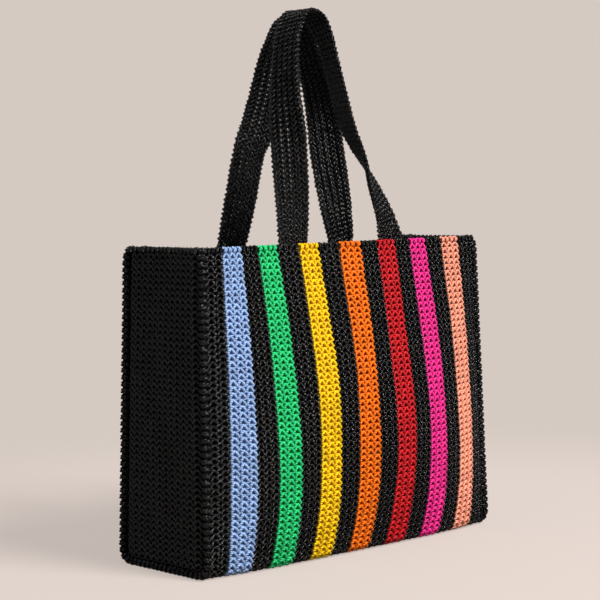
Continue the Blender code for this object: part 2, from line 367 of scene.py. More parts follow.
def sewn_stations(side, x, turn):
    """The sewn end of a strap, from its lower edge up to the rim."""
    stations = []
    for z in (HEIGHT - SEWN_DEPTH, HEIGHT - RIM_ROW - RIM_LIP, HEIGHT - RIM_ROW, HEIGHT):
        point = inside_wall(side, x, z, CLEAR + 0.5 * STRAP_THICKNESS)
        stations.append((point, turn + wall_turn(side, x, z)))
    return stations


# %% [markdown]
# Between its places, the strap follows a Catmull-Rom curve, which passes through every one of
# them. Both the place and the turn of its width are read from the same kind of curve.

# %% The route of a strap
ROUTE_STEP = 0.125


def smooth_between(before, start, end, after, share):
    arrive = (end - before) * 0.5
    leave = (after - start) * 0.5
    square, cube = share * share, share ** 3
    value = start * (2.0 * cube - 3.0 * square + 1.0) + arrive * (cube - 2.0 * square + share)
    return value + end * (3.0 * square - 2.0 * cube) + leave * (cube - square)


def strap_stations(side, span, rise, top_y, route, end_turn):
    up = sewn_stations(side, -0.5 * span, 0.0)
    down = sewn_stations(side, 0.5 * span, end_turn)[::-1]
    rim_y = up[-1][0][1]
    knots = up[-2:]
    for across, height, lean, turn in route:
        y = rim_y + (top_y - rim_y) * lean
        knots.append((np.array((0.5 * span * across, y, HEIGHT + rise * height)), turn))
    knots += down[:2]
    stations = up[:-1]
    for number in range(1, len(knots) - 2):
        points = [knot[0] for knot in knots[number - 1:number + 3]]
        turns = [knot[1] for knot in knots[number - 1:number + 3]]
        for share in np.arange(0.0, 1.0, ROUTE_STEP):
            stations.append((smooth_between(*points, share), smooth_between(*turns, share)))
    return stations + down


# %% [markdown]
# The grid of a handle has the strap's width across it and its whole length along it. The width
# is kept at a right angle to the way that the strap goes. The loops along its edges reach past
# the edge of the grid.

# %% Handle cloths
STRAP_COLUMNS = 5
STRAP_STITCHES = 118
STRAP_REACH = 0.05


def strap_cloth(side, span, rise, top_y, route, end_turn):
    stations = strap_stations(side, span, rise, top_y, route, end_turn)
    line = np.array([point for point, turn in stations])
    angle = np.radians([turn for point, turn in stations])
    lengths = np.concatenate(([0.0], np.cumsum(np.linalg.norm(np.diff(line, axis=0), axis=1))))
    wanted = np.linspace(0.0, lengths[-1], STEPS_PER_STITCH * STRAP_STITCHES + 1)
    line = np.stack([np.interp(wanted, lengths, line[:, axis]) for axis in range(3)], axis=1)
    angle = np.interp(wanted, lengths, angle)
    along = np.gradient(line, axis=0)
    along /= np.linalg.norm(along, axis=1, keepdims=True)
    width = np.stack((np.cos(angle), np.sin(angle), np.zeros_like(angle)), axis=1)
    width -= along * np.sum(width * along, axis=1, keepdims=True)
    width /= np.linalg.norm(width, axis=1, keepdims=True)
    shares = np.linspace(-0.5, 0.5, 2 * STRAP_COLUMNS + 1)[:, None, None]
    points = line[None] + width[None] * STRAP_WIDTH * shares
    face = -np.cross(along[len(along) // 2], width[len(width) // 2])
    return Cloth(points, lambda point: face, STRAP_REACH)


back_rise = HANDLE_RISE - STRAP_THICKNESS - CLEAR
front_strap = strap_cloth(FRONT, FRONT_SPAN, HANDLE_RISE, -BESIDE_MIDDLE, FRONT_ROUTE, FRONT_TURN)
back_strap = strap_cloth(BACK, BACK_SPAN, back_rise, BESIDE_MIDDLE, BACK_ROUTE, BACK_TURN)
print("straps: %.0f and %.0f mm" % (1000.0 * front_strap.length, 1000.0 * back_strap.length))

# %% [markdown]
# ## A loop of yarn
#
# Every stitch is one closed loop. A closed polyline is given a five-sided circle as its bevel and
# is then turned into a mesh, because that is how a cord is bent by hand. Five sides are enough
# for something that is repeated thousands of times.

# %% A loop of yarn
YARN_SIDES = 5


def bend_yarn(points, across, pitch, radius):
    """The corners and faces of a loop whose points are shares of a row and of a pitch."""
    bpy.ops.object.select_all(action="DESELECT")
    bpy.ops.mesh.primitive_circle_add(vertices=YARN_SIDES, radius=radius)
    section = bpy.context.object
    bpy.ops.object.convert(target="CURVE")
    section.select_set(False)
    bpy.ops.curve.primitive_bezier_curve_add()
    loop = bpy.context.object
    loop.data.splines.clear()
    line = loop.data.splines.new("POLY")
    line.points.add(len(points) - 1)
    for target, (t, s, height) in zip(line.points, points):
        target.co = (t * across, s * pitch, height, 1.0)
    line.use_cyclic_u = True
    loop.data.bevel_mode = "OBJECT"
    loop.data.bevel_object = section
    bpy.ops.object.convert(target="MESH")
    bpy.ops.object.mode_set(mode="EDIT")
    bpy.ops.mesh.select_all(action="SELECT")
    bpy.ops.mesh.normals_make_consistent(inside=False)
    bpy.ops.object.mode_set(mode="OBJECT")
    corners = np.array([vertex.co for vertex in loop.data.vertices])
    faces = np.array([face.vertices for face in loop.data.polygons])
    bpy.data.objects.remove(loop)
    bpy.data.objects.remove(section)
    return corners, faces


# %% [markdown]
# ## One stitch
#
# A single crochet seen from its right side is a small arched loop. Its yarn rises over one
# shoulder, closes in an arch, and comes down over the elbow of the next row, which lies lower.
# The middle of the loop stays open as a small dark hole, and a smaller one is left where four
# elbows meet. Each corner of a face also keeps its place on the yarn, along it in millimetres and
# around it in turns, which the material needs.

# %% One stitch
LOOP = (
    (0.34, 0.42, 0.0),
    (0.16, 0.26, 0.0),
    (0.08, 0.04, 0.4),
    (0.22, -0.34, 1.1),
    (0.44, -0.68, 1.3),
    (0.68, -0.34, 1.4),
    (0.90, 0.04, 1.5),
    (0.80, 0.28, 0.9),
    (0.58, 0.42, 0.2),
)
ROW_WIDTH = 8.3
STITCH_PITCH = 6.2
YARN_RADIUS = 1.5


def model_stitch(points, across, pitch, radius):
    """Corners as shares of the row and the pitch, heights in millimetres, faces, yarn places."""
    corners, faces = bend_yarn(points, across, pitch, radius)
    line = np.array([(t * across, s * pitch, height) for t, s, height in points + points[:1]])
    travel = np.concatenate(([0.0], np.cumsum(np.linalg.norm(np.diff(line, axis=0), axis=1))))
    ring, side = faces // YARN_SIDES, faces % YARN_SIDES
    ring = np.where((ring == 0) & (ring.max(axis=1) > 1)[:, None], len(points), ring)
    side = np.where((side == 0) & (side.max(axis=1) > 1)[:, None], YARN_SIDES, side)
    places = np.stack((travel[ring], side / YARN_SIDES), axis=2)
    corners[:, 0] /= across
    corners[:, 1] /= pitch
    return corners, faces, places


body_stitch = model_stitch(LOOP, ROW_WIDTH, STITCH_PITCH, YARN_RADIUS)
print("a stitch has", len(body_stitch[1]), "faces")

# %% [markdown]
# ## Gathering a piece
#
# The copies of one piece become one mesh, with two things stored for its material: how far along
# and around the yarn a corner is, and a tone for each stitch. They are gathered first, because
# one big mesh is made much faster than thousands of small ones. A piece has two materials, one
# for its stitches and one for their backs.

# %% Gathering a piece
MILLIMETRE = 0.001
# The second material is the backs' material, darkened as painted shade.
STITCH_PAINT, BACK_SHADE_PAINT = 0, 1


class Work:
    """Corners, faces, yarn places and tones of one piece of crochet, gathered before its mesh."""

    def __init__(self):
        self.corners, self.faces, self.yarn, self.tones, self.paints = [], [], [], [], []
        self.count = 0

    def add(self, corners, faces, yarn, tones, paint):
        self.corners.append(corners)
        self.faces.append(faces + self.count)
        self.yarn.append(yarn)
        self.tones.append(tones)
        self.paints.append(np.full(len(faces), paint))
        self.count += len(corners)


# %% [markdown]
# ## Laying the stitches
#
# A copy of the stitch is made for every place in a row. Crochet is never quite even, so each
# copy gets its own small shift, swell, lift and slant, drawn from a seeded generator so that the
# bag comes out the same every time. Its yarn also starts at a place of its own, so that the
# turns of the strands don't line up.

# %% Laying stitches
chance = np.random.default_rng(7)
SHIFT, SWELL, RISE, TILT = 0.025, 0.04, 0.12, 0.07
YARN_START = 60.0


def lay(work, cloth, shape, across_at, along_at, row_share, pitch_share, slant=0.0, lift=0.0):
    """Copies a stitch to every place: across_at and along_at are shares of the cloth."""
    corners, faces, places = shape
    count = len(across_at)
    shift = chance.normal(0.0, SHIFT, (count, 2))
    swell = chance.normal(1.0, SWELL, count)
    rise = chance.normal(0.0, RISE, count)
    tilt = chance.normal(slant, TILT, count)[:, None]
    t = corners[None, :, 0] + shift[:, :1]
    s = corners[None, :, 1] * swell[:, None] + tilt * (corners[None, :, 0] - 0.5) + shift[:, 1:]
    height = (corners[None, :, 2] + rise[:, None] + lift) * MILLIMETRE
    across = (across_at[:, None] + t * row_share).ravel()
    along = (along_at[:, None] + s * pitch_share).ravel()
    placed = cloth.place(across, along, height.ravel())
    turned = -1 if cloth.mirrored else 1
    order = faces[:, ::turned][None] + (np.arange(count) * len(corners))[:, None, None]
    start = np.stack((chance.uniform(0.0, YARN_START, count), np.zeros(count)), axis=1)
    yarn = places[:, ::turned][None] + start[:, None, None, :]
    tones = np.repeat(chance.uniform(0.0, 1.0, count), len(corners))
    work.add(placed, order.reshape(-1, 4), yarn.reshape(-1, 4, 2), tones, STITCH_PAINT)


# %% [markdown]
# ## The sheets behind the stitches
#
# Behind the stitches lie the elbows and backs of the rows. They are too deep to be seen one by one,
# so they are two sheets: a flat one that closes the holes from outside, and one with a rib for every
# row and a bump for every stitch, which faces the inside of the bag. Both take the darkened back
# material, so the holes show painted shade.

# %% Sheets behind the stitches
SHEET_HEIGHT, SHEET_TONE = -0.9, 0.5
RIB_HEIGHT, RIB, RIB_BUMP = -1.3, 0.8, 0.35


def lay_sheet(work, cloth, across, along, height, face):
    """A relief sheet over the cloth: height is a grid, in millimetres, over across and along."""
    a, b = np.meshgrid(across, along, indexing="ij")
    placed = cloth.place(a.ravel(), b.ravel(), height.ravel() * MILLIMETRE)
    rows, columns = a.shape
    index = np.arange(rows * columns).reshape(rows, columns)
    faces = np.stack((index[:-1, :-1], index[1:, :-1], index[1:, 1:], index[:-1, 1:]), axis=-1)
    faces = faces.reshape(-1, 4)
    if cloth.mirrored == (face > 0.0):
        faces = faces[:, ::-1]
    yarn = np.stack((a.ravel(), b.ravel()), axis=1)[faces]
    work.add(placed, faces, yarn, np.full(a.size, SHEET_TONE), BACK_SHADE_PAINT)


def lay_backs(work, cloth, across, rows, stitches):
    """Both sheets of a piece: rows counts them at every share across."""
    along = np.linspace(0.0, 1.0, 2 * stitches + 1)
    flat = np.full((len(across), len(along)), SHEET_HEIGHT)
    lay_sheet(work, cloth, across, along, flat, 1.0)
    rib = np.abs(np.sin(math.pi * rows))[:, None]
    bump = np.cos(2.0 * math.pi * stitches * along)[None]
    lay_sheet(work, cloth, across, along, RIB_HEIGHT - RIB * rib - RIB_BUMP * bump * rib, -1.0)


# %% [markdown]
# ## The yarns
#
# The yarn is a satin cord in eight colours, and black is shinier than the others. Small helpers
# keep the node trees short: they start a material, add a Math or a Map Range node, press a height
# into the surface, and multiply the yarn's colour.

# %% Helpers for materials
COLOURS = {
    "black": (0.0026, 0.0021, 0.0024),
    "blue": (0.32, 0.48, 0.80),
    "green": (0.02, 0.60, 0.19),
    "yellow": (0.97, 0.61, 0.002),
    "orange": (0.90, 0.175, 0.003),
    "red": (0.56, 0.008, 0.014),
    "pink": (0.86, 0.028, 0.28),
    "salmon": (0.94, 0.355, 0.235),
}
BUMP_STRENGTH = 0.8


def start_paint(name, roughness, specular):
    paint = bpy.data.materials.new(name)
    paint.use_nodes = True
    nodes, links = paint.node_tree.nodes, paint.node_tree.links
    shader = nodes["Principled BSDF"]
    shader.inputs["Roughness"].default_value = roughness
    shader.inputs["Specular IOR Level"].default_value = specular
    return paint, nodes, links, shader


def maths(nodes, links, operation, *values):
    """A Math node whose inputs are numbers or outputs of other nodes."""
    node = nodes.new("ShaderNodeMath")
    node.operation = operation
    for socket, value in zip(node.inputs, values):
        if isinstance(value, float):
            socket.default_value = value
        else:
            links.new(value, socket)
    return node.outputs["Value"]


def map_range(nodes, links, value, source, target):
    node = nodes.new("ShaderNodeMapRange")
    for name, number in zip(("From Min", "From Max", "To Min", "To Max"), source + target):
        node.inputs[name].default_value = number
    links.new(value, node.inputs["Value"])
    return node.outputs["Result"]


def emboss(nodes, links, shader, height, depth):
    bump = nodes.new("ShaderNodeBump")
    bump.inputs["Strength"].default_value = BUMP_STRENGTH
    bump.inputs["Distance"].default_value = depth
    links.new(height, bump.inputs["Height"])
    links.new(bump.outputs["Normal"], shader.inputs["Normal"])


def scale_colour(nodes, links, shader, colour, scale):
    mix = nodes.new("ShaderNodeVectorMath")
    mix.operation = "SCALE"
    mix.inputs[0].default_value = COLOURS[colour]
    links.new(scale, mix.inputs["Scale"])
    links.new(mix.outputs["Vector"], shader.inputs["Base Color"])


# %% [markdown]
# Two strands turn round each other every few millimetres. The turns are drawn from the place along
# and around the yarn: the strands stand out as slanting ridges, which break up the shine, and the
# colour is painted darker in the groove between them and lighter on the ridges, as painted shade and
# painted highlight. Every stitch is also a little lighter or darker than the next.

# %% Yarn materials
TURN_LENGTH = 5.0
STRANDS = 2.0
BLACK_GLOSS = {"roughness": 0.20, "specular": 0.45, "ridge": 0.0006}
COLOUR_GLOSS = {"roughness": 0.38, "specular": 0.22, "ridge": 0.0003}
STITCH_TONES = (0.84, 1.12)
STRAND_SHADE_TONES = (0.76, 1.08)


def yarn_paint(colour, name):
    gloss = BLACK_GLOSS if colour == "black" else COLOUR_GLOSS
    paint, nodes, links, shader = start_paint(name, gloss["roughness"], gloss["specular"])
    place = nodes.new("ShaderNodeUVMap")
    place.uv_map = "yarn"
    split = nodes.new("ShaderNodeSeparateXYZ")
    links.new(place.outputs["UV"], split.inputs["Vector"])
    twist = maths(nodes, links, "MULTIPLY_ADD",
                  split.outputs["X"], 1.0 / TURN_LENGTH, split.outputs["Y"])
    turns = maths(nodes, links, "MULTIPLY", twist, 2.0 * math.pi * STRANDS)
    ridge = maths(nodes, links, "SINE", turns)
    emboss(nodes, links, shader, ridge, gloss["ridge"])
    tone = nodes.new("ShaderNodeAttribute")
    tone.attribute_name = "tone"
    stitch_tone = map_range(nodes, links, tone.outputs["Fac"], (0.0, 1.0), STITCH_TONES)
    # Painted shade in the strands' grooves and painted highlight on their ridges.
    strand_shade_tone = map_range(nodes, links, ridge, (-1.0, 1.0), STRAND_SHADE_TONES)
    both = maths(nodes, links, "MULTIPLY", stitch_tone, strand_shade_tone)
    scale_colour(nodes, links, shader, colour, both)
    return paint


yarn_paints = {name: yarn_paint(name, name + "_yarn") for name in COLOURS}
print("yarns:", ", ".join(yarn_paints))

# %% [markdown]
# The backs of the stitches show in the holes and inside the bag. They lie deeper, and their colour
# is the yarn's colour darkened by a share for each colour, as painted shade; their yarn is matt. Its
# turns are drawn as slanting waves through the space of the piece, which are also painted darker in
# their grooves as painted shade, with a cloudy tone over them, because the CAD pieces that share
# this material carry no places along a yarn.

# %% Backs of the stitches, darkened as painted shade
# How far each colour's backs are darkened: painted shade in the holes and inside the bag.
BACK_SHADE_SHARES = {"yellow": 0.90, "orange": 0.45, "green": 0.60, "blue": 0.65}
PLAIN_BACK_SHADE_SHARE = 0.32
BACK_ROUGHNESS, BACK_SPECULAR = 0.8, 0.1
WAVE_SCALE, WAVE_BEND, WAVE_DEPTH = 260.0, 1.5, 0.0004
CLOUD_SCALE = 350.0
BACK_RANGE, BACK_GROOVE_SHADE_AND_CLOUD_TONES = (0.4, 1.6), (0.70, 1.30)


def shaded_back_paint(colour, name):
    paint, nodes, links, shader = start_paint(name, BACK_ROUGHNESS, BACK_SPECULAR)
    place = nodes.new("ShaderNodeTexCoord")
    wave = nodes.new("ShaderNodeTexWave")
    wave.bands_direction = "DIAGONAL"
    wave.inputs["Scale"].default_value = WAVE_SCALE
    wave.inputs["Distortion"].default_value = WAVE_BEND
    links.new(place.outputs["Object"], wave.inputs["Vector"])
    emboss(nodes, links, shader, wave.outputs["Fac"], WAVE_DEPTH)
    cloud = nodes.new("ShaderNodeTexNoise")
    cloud.inputs["Scale"].default_value = CLOUD_SCALE
    links.new(place.outputs["Object"], cloud.inputs["Vector"])
    both = maths(nodes, links, "ADD", wave.outputs["Fac"], cloud.outputs["Fac"])
    # The backs' colour is scaled down here, as painted shade; the darker wave grooves are painted
    # shade too.
    share = BACK_SHADE_SHARES.get(colour, PLAIN_BACK_SHADE_SHARE)
    tones = tuple(share * tone for tone in BACK_GROOVE_SHADE_AND_CLOUD_TONES)
    scale_colour(nodes, links, shader, colour, map_range(nodes, links, both, BACK_RANGE, tones))
    return paint


shaded_back_paints = {name: shaded_back_paint(name, name + "_yarn_back_shaded") for name in COLOURS}
print("backs:", len(shaded_back_paints))

# %% [markdown]
# ## Finishing a piece
#
# A gathered piece becomes a mesh in one go. It rides on the bag's only body, takes the place of its
# smooth CAD node, and takes the materials of its yarn.

# %% Finishing a piece
def finish_piece(work, node, colour):
    name, slot = node + "_crochet", colour + "_yarn"
    corners = np.concatenate(work.corners)
    faces = np.concatenate(work.faces)
    data = bpy.data.meshes.new(name)
    data.vertices.add(len(corners))
    data.vertices.foreach_set("co", corners.ravel())
    data.loops.add(4 * len(faces))
    data.loops.foreach_set("vertex_index", faces.ravel())
    data.polygons.add(len(faces))
    data.polygons.foreach_set("loop_start", 4 * np.arange(len(faces)))
    data.polygons.foreach_set("use_smooth", np.ones(len(faces), bool))
    data.polygons.foreach_set("material_index", np.concatenate(work.paints).astype(np.int32))
    data.update(calc_edges=True)
    layer = data.uv_layers.new(name="yarn")
    layer.data.foreach_set("uv", np.concatenate(work.yarn).ravel())
    tone = data.attributes.new("tone", "FLOAT", "POINT")
    tone.data.foreach_set("value", np.concatenate(work.tones).astype(np.float32))
    data.materials.append(yarn_paints[colour])
    data.materials.append(shaded_back_paints[colour])
    piece = bpy.data.objects.new(name, data)
    bpy.context.scene.collection.objects.link(piece)
    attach(piece, "root")
    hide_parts(node)
    print(name, len(faces), "faces")


# %% [markdown]
# ## The edging along the rim
#
# The last row closes the cloth along the rim. From outside it looks like a thin rope, so it is
# made of small round loops in two columns, which lean against each other. They lie on a narrow
# cloth of their own.

# %% Edging loops
EDGING = 0.0065
EDGING_YARN, EDGING_PITCH = 1.25, 6.4
EDGING_SLANT = 0.25
EDGING_COLUMNS = ((0.0, EDGING_SLANT), (0.40, -EDGING_SLANT))
EDGING_ROW = 0.45
BEAD = (
    (0.08, 0.10, 0.0),
    (0.08, -0.14, 0.3),
    (0.30, -0.28, 1.2),
    (0.62, -0.26, 1.5),
    (0.95, -0.04, 1.0),
    (0.95, 0.18, 0.5),
    (0.65, 0.10, 1.2),
    (0.35, 0.04, 1.2),
)
edging_stitch = model_stitch(BEAD, 1000.0 * EDGING, EDGING_PITCH, EDGING_YARN)


def lay_edging(work, rim, places, width, lift=0.0):
    """Two columns of loops over a rim, at the given shares along it."""
    for across, slant in EDGING_COLUMNS:
        lay(work, rim, edging_stitch, np.full(len(places), across), places, EDGING_ROW, width,
            slant, lift)


print("an edging loop has", len(edging_stitch[1]), "faces")

# %% [markdown]
# The narrow cloth climbs the wall, rolls over its top and goes down inside it. The wall gives the
# place of its top and the direction that points out of the bag, at every share of its width.

# %% Rims
EDGING_SINK = 0.0008
RIM_ROLL = 0.5 * WALL - EDGING_SINK
RIM_DROP = 0.62 * EDGING
ROLL_ANGLES = np.linspace(0.0, math.pi, 9)
RIM_LINES = 12
UP = np.array((0.0, 0.0, 1.0))


def rim_cloth(top_of, steps):
    grid = []
    for share in np.linspace(0.0, 1.0, steps + 1):
        base, outward = top_of(share)
        line = [base - UP * RIM_DROP + outward * RIM_ROLL]
        for angle in ROLL_ANGLES:
            line.append(base + outward * RIM_ROLL * math.cos(angle)
                        + UP * RIM_ROLL * (math.sin(angle) - 1.0))
        line.append(base - outward * RIM_ROLL - UP * RIM_DROP)
        grid.append(even_line(np.array(line), RIM_LINES))
    return Cloth(np.array(grid).transpose(1, 0, 2), lambda point: UP)


def wall_rim(side):
    def top_of(u):
        x = (u - 0.5) * (RIM_WIDTH - 2.0 * SEAM_FIT) + drift(side, u, HEIGHT)
        place = np.array((x, panel_y(side, u, HEIGHT), HEIGHT - rim_dip(side, u)))
        return place, np.array((0.0, side, 0.0))
    return rim_cloth(top_of, steps=60)


def gusset_rim(side):
    def top_of(v):
        hollow = GUSSET_HOLLOW * (1.0 - (2.0 * v - 1.0) ** 2)
        x = side * (0.5 * RIM_WIDTH - hollow)
        y = (2.0 * v - 1.0) * (corner_depth(HEIGHT) - SEAM_FIT)
        return np.array((x, y, HEIGHT)), np.array((side, 0.0, 0.0))
    return rim_cloth(top_of, steps=30)


rims = {FRONT: wall_rim(FRONT), BACK: wall_rim(BACK)}
print("front rim: %.0f mm" % (1000.0 * rims[FRONT].length))

# %% [markdown]
# ## Rows of stitches
#
# The rows stop just under the rim, where the edging takes over. The elbow of a row lies over the
# start of the next one, so a row starts a little before its own width.

# %% Rows of stitches
ROW_START = -0.04


def lay_rows(work, cloth, first, last, rows, stitches, start, end, lift=0.0, shape=body_stitch):
    """Rows of body stitches between two shares of the cloth's width."""
    row_share = (last - first) / rows
    pitch_share = (end - start) / stitches
    along = start + (np.arange(stitches) + 0.5) * pitch_share
    for row in range(rows):
        across = np.full(stitches, first + (row + ROW_START) * row_share)
        lay(work, cloth, shape, across, along, row_share, pitch_share, lift=lift)


# %% [markdown]
# ## The bands
#
# Every band is three rows wide, first black, then a colour, then black again. Only the first
# black band, beside the left gusset, has two rows. A coloured band spreads a little wider than a
# black one, and the black rows lie slightly behind it, so that its edge shows as scallops.

# %% Bands
BAND_COLOURS = ("blue", "green", "yellow", "orange", "red", "pink", "salmon")
ROWS_PER_BAND, FIRST_BAND_ROWS = 3, 2
RIM_STITCHES_PER_BAND = 4
BEHIND_COLOUR = -0.35
SHEET_TUCK = 0.005
rim_share = RIM_ROW / wrap.length
cloth_width = RIM_WIDTH - 2.0 * SEAM_FIT
black_band = (cloth_width - FIRST_BAND) / len(BAND_COLOURS) - COLOUR_BAND
widths = [FIRST_BAND] + [COLOUR_BAND, black_band] * len(BAND_COLOURS)
band_edges = np.concatenate(([0.0], np.cumsum(widths))) / cloth_width

for band in range(len(widths)):
    work = Work()
    colour = BAND_COLOURS[band // 2] if band % 2 else "black"
    node = colour + "_band" if band % 2 else "black_band_" + str(band // 2 + 1)
    first, last = band_edges[band:band + 2]
    rows = ROWS_PER_BAND if band else FIRST_BAND_ROWS
    lift = 0.0 if band % 2 else BEHIND_COLOUR
    lay_rows(work, wrap, first, last, rows, WRAP_STITCHES, rim_share, 1.0 - rim_share, lift)
    across = np.linspace(first, last, 2 * rows + 1)
    across[0] -= SHEET_TUCK if band == 0 else 0.0
    across[-1] += SHEET_TUCK if band + 1 == len(widths) else 0.0
    lay_backs(work, wrap, across, np.arange(2 * rows + 1) / 2.0, WRAP_STITCHES)
    width = (last - first) / RIM_STITCHES_PER_BAND
    places = first + (np.arange(RIM_STITCHES_PER_BAND) + 0.5) * width
    for side in (FRONT, BACK):
        lay_edging(work, rims[side], places, width)
    finish_piece(work, node, colour)

# %% [markdown]
# ## The gussets in crochet
#
# A gusset is the same crochet in black, worked more tightly, so its yarn fills more of the holes.
# It has its own edging along the rim, with a thicker loop at both corners and one more on its
# way, where the yarn was joined.

# %% Gussets
RIM_STITCHES_PER_GUSSET = 17
KNOT_PLACES = (0.035, 0.80, 0.965)
KNOT_WIDTH, KNOT_LIFT = 1.1, 0.7
GROOVE_EDGE = 0.06
CLOSE_YARN = 1.9
close_stitch = model_stitch(LOOP, ROW_WIDTH, STITCH_PITCH, CLOSE_YARN)

for name, cloth, side in (("left", left_side, LEFT), ("right", right_side, RIGHT)):
    work = Work()
    lay_rows(work, cloth, GROOVE_EDGE, 1.0 - GROOVE_EDGE, GUSSET_ROWS, GUSSET_STITCHES,
             RIM_ROW / cloth.length, 1.0, shape=close_stitch)
    across = np.linspace(0.0, 1.0, GUSSET_LINES)
    lay_backs(work, cloth, across, GUSSET_ROWS * across, GUSSET_STITCHES)
    rim = gusset_rim(side)
    count = RIM_STITCHES_PER_GUSSET
    lay_edging(work, rim, (np.arange(count) + 0.5) / count, 1.0 / count)
    lay_edging(work, rim, np.array(KNOT_PLACES), KNOT_WIDTH / count, KNOT_LIFT)
    finish_piece(work, name + "_gusset", "black")

# %% [markdown]
# ## The joining rows
#
# A row of crochet joins the wrapped piece to each gusset. From outside it looks like a braid that
# runs down one corner, under the side and up the other corner. Its line follows the corner of the
# bag, and at the rim it turns in a little, which rounds the top corners. A narrow tube round that
# line is the cloth for its loops.

# %% The line of a joining row
SEAM_STITCHES = 112
SEAM_TOP = HEIGHT + 0.001
SEAM_POINTS = 40
CORNER_TURN, CORNER_DRAW = 0.009, 0.0025
TUBE_SIDES = 24


def seam_line(side):
    halves = []
    for end in (FRONT, BACK):
        z = np.linspace(SEAM_TOP, CORNER, SEAM_POINTS)
        y = corner_depth(z)
        fold_y = corner_depth(CORNER) - FOLD_RADIUS * (1.0 - np.cos(FOLD_ANGLES))
        z = np.concatenate((z, CORNER - FOLD_RADIUS * np.sin(FOLD_ANGLES)))
        y = end * np.concatenate((y, fold_y))
        turned_in = np.maximum(0.0, (z - HEIGHT + CORNER_TURN) / CORNER_TURN) ** 2
        x = side * (0.5 * bag_width(z) - CORNER_DRAW * turned_in)
        halves.append(np.stack((x, y - end * CORNER_DRAW * turned_in, z), axis=1))
    whole = np.concatenate((halves[0], halves[1][::-1]))
    return even_line(whole, STEPS_PER_STITCH * SEAM_STITCHES)


def seam_cloth(side, radius):
    line = seam_line(side)
    along = np.gradient(line, axis=0)
    along /= np.linalg.norm(along, axis=1, keepdims=True)
    outward = np.array((side, 0.0, 0.0)) * np.ones_like(line)
    outward -= along * np.sum(outward * along, axis=1, keepdims=True)
    outward /= np.linalg.norm(outward, axis=1, keepdims=True)
    beside = np.cross(along, outward)
    angles = np.linspace(-math.pi, math.pi, TUBE_SIDES + 1)[:, None, None]
    points = line[None] + radius * (outward[None] * np.cos(angles) + beside[None] * np.sin(angles))
    centre = line[len(line) // 2]
    return Cloth(points, lambda point: point - centre)


# %% [markdown]
# Four columns of slanting loops go round the tube, and a core in the darkened back material fills
# it, so that nothing can be seen through the braid and its gaps show painted shade.

# %% Joining rows
SEAM_COLUMNS = 4
SEAM_TUBE = 0.0018
SEAM_ROW, SEAM_PITCH, SEAM_YARN = 5.5, 6.4, 1.35
SEAM_SLANT, SEAM_LIFT = 0.1, 0.1
CORE_SIDES, CORE_HEIGHT = 12, 0.9
seam_stitch = model_stitch(BEAD, SEAM_ROW, SEAM_PITCH, SEAM_YARN)

for name, side in (("left", LEFT), ("right", RIGHT)):
    work = Work()
    cloth = seam_cloth(side, SEAM_TUBE)
    places = (np.arange(SEAM_STITCHES) + 0.5) / SEAM_STITCHES
    column_share, pitch_share = 1.0 / SEAM_COLUMNS, 1.0 / SEAM_STITCHES
    for column in range(SEAM_COLUMNS):
        across = np.full(SEAM_STITCHES, column * column_share)
        lay(work, cloth, seam_stitch, across, places, column_share, pitch_share, SEAM_SLANT,
            SEAM_LIFT)
    around = np.linspace(0.0, 1.0, CORE_SIDES + 1)
    along = np.linspace(0.0, 1.0, STEPS_PER_STITCH * SEAM_STITCHES + 1)
    core = np.full((len(around), len(along)), CORE_HEIGHT)
    # The core takes the darkened back material: painted shade inside the braid.
    lay_sheet(work, cloth, around, along, core, 1.0)
    finish_piece(work, name + "_joining_row", "black")

# %% [markdown]
# ## The handles in crochet
#
# A handle has five columns of stitches. Each stitch is an arrow of yarn that goes through both
# faces, so the strap looks alike from both sides. Along both edges, a loop goes round the edge at
# every stitch.

# %% Strap stitches
CHEVRON = (
    (0.13, 0.55, -0.2),
    (0.13, 0.55, 0.2),
    (0.29, 0.02, 1.0),
    (0.50, -0.42, 1.25),
    (0.71, 0.02, 1.0),
    (0.87, 0.55, 0.2),
    (0.87, 0.55, -0.2),
    (0.71, 0.02, -1.0),
    (0.50, -0.42, -1.25),
    (0.29, 0.02, -1.0),
)
EDGE_LOOP = (
    (0.36, -0.32, 1.0),
    (0.12, -0.20, 1.4),
    (-0.03, -0.02, 0.7),
    (-0.04, 0.14, -0.7),
    (0.12, 0.26, -1.4),
    (0.36, 0.30, -1.0),
    (0.42, 0.00, 0.0),
)
FAR_EDGE_LOOP = tuple((-t, s, height) for t, s, height in EDGE_LOOP)
STRAP_ROW, STRAP_PITCH = 7.0, 5.2
STRAP_YARN, EDGE_YARN = 1.4, 1.25
strap_stitch = model_stitch(CHEVRON, STRAP_ROW, STRAP_PITCH, STRAP_YARN)
edge_stitch = model_stitch(EDGE_LOOP, STRAP_ROW, STRAP_PITCH, EDGE_YARN)
far_edge_stitch = model_stitch(FAR_EDGE_LOOP, STRAP_ROW, STRAP_PITCH, EDGE_YARN)
print("a strap stitch has", len(strap_stitch[1]), "faces")

# %% [markdown]
# A thin ribbon inside the strap closes the gaps between the columns, in the darkened back material,
# so the gaps show painted shade. It is cut lengthwise into three, and the narrow slits between them
# let light through as two rows of pinholes. Both slits are drawn nearly shut beyond the middle of
# the handle.

# %% The ribbon inside a strap
SLITS = (1.5, 2.5)
SLIT_HALF = 0.03
SLIT_PLACES = (0.0, 0.38, 0.50, 1.0)
SLIT_SHARES = (1.0, 1.0, 0.2, 0.2)
RIBBON_EDGE = 0.1
RIBBON_BEVEL = 0.12
RIBBON_HALF = 0.7
RIBBON_ENDS = (0.004, 0.996)


